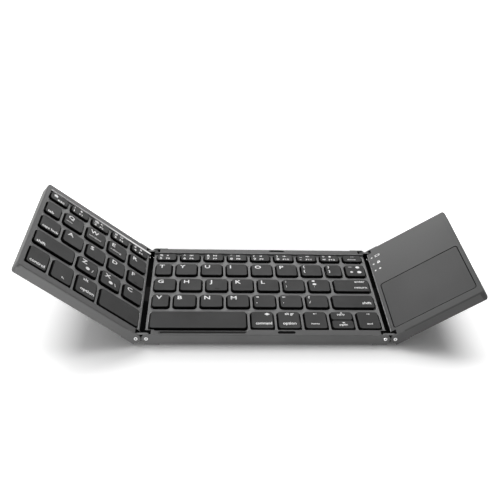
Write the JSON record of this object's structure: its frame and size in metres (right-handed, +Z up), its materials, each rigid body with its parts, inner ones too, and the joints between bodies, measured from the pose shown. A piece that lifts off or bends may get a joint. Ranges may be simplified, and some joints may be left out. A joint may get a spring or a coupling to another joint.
{
  "type": "folding keyboard",
  "caption": "Flat keyboard in three sections: two wings, one with keys and one with a touchpad, fold over the middle on pairs of double-pinned links.",
  "frame": {"origin": "centre of the middle section, on the surface that its feet rest on", "axes": "+X to the user's right, +Y to the back (away from the user), +Z up; the wings are drawn partly raised"},
  "size_m": [0.28, 0.098, 0.0581],
  "materials": {
    "frame": "satin dark grey",
    "cover": "dark grey, satin",
    "steel_plate": "plain",
    "rubber": "matt black",
    "scissor": "plain",
    "circuit": "lacquered",
    "pin": "turned, bright",
    "link": "satin grey",
    "spine": "matt black",
    "cable": "smooth",
    "key": "fine matt, pale legends",
    "touchpad": "very fine matt",
    "battery": "foil",
    "light": "clear white",
    "socket": "plated"
  },
  "bodies": {
    "middle": {"middle_frame": "frame", "middle_bottom_cover": "cover", "middle_support_plate": "steel_plate", "middle_dome_sheet": "rubber", "middle_scissors": "scissor", "main_board": "circuit", "middle_bumpers": "rubber", "middle_feet": "rubber", "middle_pins": "pin"},
    "left_link": {"left_links": "link", "left_spine": "spine", "left_flat_cable": "cable"},
    "left_wing": {"left_frame": "frame", "left_bottom_cover": "cover", "left_support_plate": "steel_plate", "left_dome_sheet": "rubber", "left_scissors": "scissor", "left_feet": "rubber", "left_wing_pins": "pin"},
    "right_link": {"right_links": "link", "right_spine": "spine", "right_flat_cable": "cable"},
    "right_wing": {"right_frame": "frame", "right_bottom_cover": "cover", "touchpad": "touchpad", "touchpad_board": "circuit", "battery": "battery", "indicator_lights": "light", "charging_socket": "socket", "right_feet": "rubber", "right_wing_pins": "pin"},
    "number_keys_right": {"number_keys_right": "key"},
    "delete_key": {"delete_key": "key"},
    "top_letter_keys_right": {"top_letter_keys_right": "key"},
    "backslash_key": {"backslash_key": "key"},
    "home_keys_right": {"home_keys_right": "key"},
    "enter_key": {"enter_key": "key"},
    "low_letter_keys_right": {"low_letter_keys_right": "key"},
    "right_shift_key": {"right_shift_key": "key"},
    "right_space_bar": {"right_space_bar": "key"},
    "right_command_key": {"right_command_key": "key"},
    "right_alt_key": {"right_alt_key": "key"},
    "left_arrow_key": {"left_arrow_key": "key"},
    "up_arrow_key": {"up_arrow_key": "key"},
    "down_arrow_key": {"down_arrow_key": "key"},
    "right_arrow_key": {"right_arrow_key": "key"},
    "esc_key": {"esc_key": "key"},
    "number_keys_left": {"number_keys_left": "key"},
    "tab_key": {"tab_key": "key"},
    "top_letter_keys_left": {"top_letter_keys_left": "key"},
    "caps_lock_key": {"caps_lock_key": "key"},
    "home_keys_left": {"home_keys_left": "key"},
    "left_shift_key": {"left_shift_key": "key"},
    "low_letter_keys_left": {"low_letter_keys_left": "key"},
    "ctrl_key": {"ctrl_key": "key"},
    "fn_key": {"fn_key": "key"},
    "left_alt_key": {"left_alt_key": "key"},
    "left_space_bar": {"left_space_bar": "key"}
  },
  "joints": [
    {"name": "left_link_turn", "type": "hinge", "parent": "middle", "child": "left_link", "pos_m": [-0.07319, 0, 0.00455], "axis": [0, 1, 0], "range_deg": [0, 90]},
    {"name": "left_wing_turn", "type": "hinge", "parent": "left_link", "child": "left_wing", "pos_m": [-0.07939, 0, 0.00455], "axis": [0, 1, 0], "range_deg": [-38, 52]},
    {"name": "right_link_turn", "type": "hinge", "parent": "middle", "child": "right_link", "pos_m": [0.07319, 0, 0.00455], "axis": [0, -1, 0], "range_deg": [0, 90]},
    {"name": "right_wing_turn", "type": "hinge", "parent": "right_link", "child": "right_wing", "pos_m": [0.07939, 0, 0.00455], "axis": [0, -1, 0], "range_deg": [-34, 56]},
    {"name": "number_keys_right_press", "type": "slide", "parent": "middle", "child": "number_keys_right", "axis": [0, 0, -1], "range_m": [0, 0.001], "stiffness_N_per_m": 400, "springref_m": -0.0006},
    {"name": "delete_key_press", "type": "slide", "parent": "middle", "child": "delete_key", "axis": [0, 0, -1], "range_m": [0, 0.001], "stiffness_N_per_m": 400, "springref_m": -0.0006},
    {"name": "top_letter_keys_right_press", "type": "slide", "parent": "middle", "child": "top_letter_keys_right", "axis": [0, 0, -1], "range_m": [0, 0.001], "stiffness_N_per_m": 400, "springref_m": -0.0006},
    {"name": "backslash_key_press", "type": "slide", "parent": "middle", "child": "backslash_key", "axis": [0, 0, -1], "range_m": [0, 0.001], "stiffness_N_per_m": 400, "springref_m": -0.0006},
    {"name": "home_keys_right_press", "type": "slide", "parent": "middle", "child": "home_keys_right", "axis": [0, 0, -1], "range_m": [0, 0.001], "stiffness_N_per_m": 400, "springref_m": -0.0006},
    {"name": "enter_key_press", "type": "slide", "parent": "middle", "child": "enter_key", "axis": [0, 0, -1], "range_m": [0, 0.001], "stiffness_N_per_m": 400, "springref_m": -0.0006},
    {"name": "low_letter_keys_right_press", "type": "slide", "parent": "middle", "child": "low_letter_keys_right", "axis": [0, 0, -1], "range_m": [0, 0.001], "stiffness_N_per_m": 400, "springref_m": -0.0006},
    {"name": "right_shift_key_press", "type": "slide", "parent": "middle", "child": "right_shift_key", "axis": [0, 0, -1], "range_m": [0, 0.001], "stiffness_N_per_m": 400, "springref_m": -0.0006},
    {"name": "right_space_bar_press", "type": "slide", "parent": "middle", "child": "right_space_bar", "axis": [0, 0, -1], "range_m": [0, 0.001], "stiffness_N_per_m": 400, "springref_m": -0.0006},
    {"name": "right_command_key_press", "type": "slide", "parent": "middle", "child": "right_command_key", "axis": [0, 0, -1], "range_m": [0, 0.001], "stiffness_N_per_m": 400, "springref_m": -0.0006},
    {"name": "right_alt_key_press", "type": "slide", "parent": "middle", "child": "right_alt_key", "axis": [0, 0, -1], "range_m": [0, 0.001], "stiffness_N_per_m": 400, "springref_m": -0.0006},
    {"name": "left_arrow_key_press", "type": "slide", "parent": "middle", "child": "left_arrow_key", "axis": [0, 0, -1], "range_m": [0, 0.001], "stiffness_N_per_m": 400, "springref_m": -0.0006},
    {"name": "up_arrow_key_press", "type": "slide", "parent": "middle", "child": "up_arrow_key", "axis": [0, 0, -1], "range_m": [0, 0.001], "stiffness_N_per_m": 400, "springref_m": -0.0006},
    {"name": "down_arrow_key_press", "type": "slide", "parent": "middle", "child": "down_arrow_key", "axis": [0, 0, -1], "range_m": [0, 0.001], "stiffness_N_per_m": 400, "springref_m": -0.0006},
    {"name": "right_arrow_key_press", "type": "slide", "parent": "middle", "child": "right_arrow_key", "axis": [0, 0, -1], "range_m": [0, 0.001], "stiffness_N_per_m": 400, "springref_m": -0.0006},
    {"name": "esc_key_press", "type": "slide", "parent": "left_wing", "child": "esc_key", "axis": [-0.6157, 0, -0.788], "range_m": [0, 0.001], "stiffness_N_per_m": 400, "springref_m": -0.0006},
    {"name": "number_keys_left_press", "type": "slide", "parent": "left_wing", "child": "number_keys_left", "axis": [-0.6157, 0, -0.788], "range_m": [0, 0.001], "stiffness_N_per_m": 400, "springref_m": -0.0006},
    {"name": "tab_key_press", "type": "slide", "parent": "left_wing", "child": "tab_key", "axis": [-0.6157, 0, -0.788], "range_m": [0, 0.001], "stiffness_N_per_m": 400, "springref_m": -0.0006},
    {"name": "top_letter_keys_left_press", "type": "slide", "parent": "left_wing", "child": "top_letter_keys_left", "axis": [-0.6157, 0, -0.788], "range_m": [0, 0.001], "stiffness_N_per_m": 400, "springref_m": -0.0006},
    {"name": "caps_lock_key_press", "type": "slide", "parent": "left_wing", "child": "caps_lock_key", "axis": [-0.6157, 0, -0.788], "range_m": [0, 0.001], "stiffness_N_per_m": 400, "springref_m": -0.0006},
    {"name": "home_keys_left_press", "type": "slide", "parent": "left_wing", "child": "home_keys_left", "axis": [-0.6157, 0, -0.788], "range_m": [0, 0.001], "stiffness_N_per_m": 400, "springref_m": -0.0006},
    {"name": "left_shift_key_press", "type": "slide", "parent": "left_wing", "child": "left_shift_key", "axis": [-0.6157, 0, -0.788], "range_m": [0, 0.001], "stiffness_N_per_m": 400, "springref_m": -0.0006},
    {"name": "low_letter_keys_left_press", "type": "slide", "parent": "left_wing", "child": "low_letter_keys_left", "axis": [-0.6157, 0, -0.788], "range_m": [0, 0.001], "stiffness_N_per_m": 400, "springref_m": -0.0006},
    {"name": "ctrl_key_press", "type": "slide", "parent": "left_wing", "child": "ctrl_key", "axis": [-0.6157, 0, -0.788], "range_m": [0, 0.001], "stiffness_N_per_m": 400, "springref_m": -0.0006},
    {"name": "fn_key_press", "type": "slide", "parent": "left_wing", "child": "fn_key", "axis": [-0.6157, 0, -0.788], "range_m": [0, 0.001], "stiffness_N_per_m": 400, "springref_m": -0.0006},
    {"name": "left_alt_key_press", "type": "slide", "parent": "left_wing", "child": "left_alt_key", "axis": [-0.6157, 0, -0.788], "range_m": [0, 0.001], "stiffness_N_per_m": 400, "springref_m": -0.0006},
    {"name": "left_space_bar_press", "type": "slide", "parent": "left_wing", "child": "left_space_bar", "axis": [-0.6157, 0, -0.788], "range_m": [0, 0.001], "stiffness_N_per_m": 400, "springref_m": -0.0006}
  ]
}
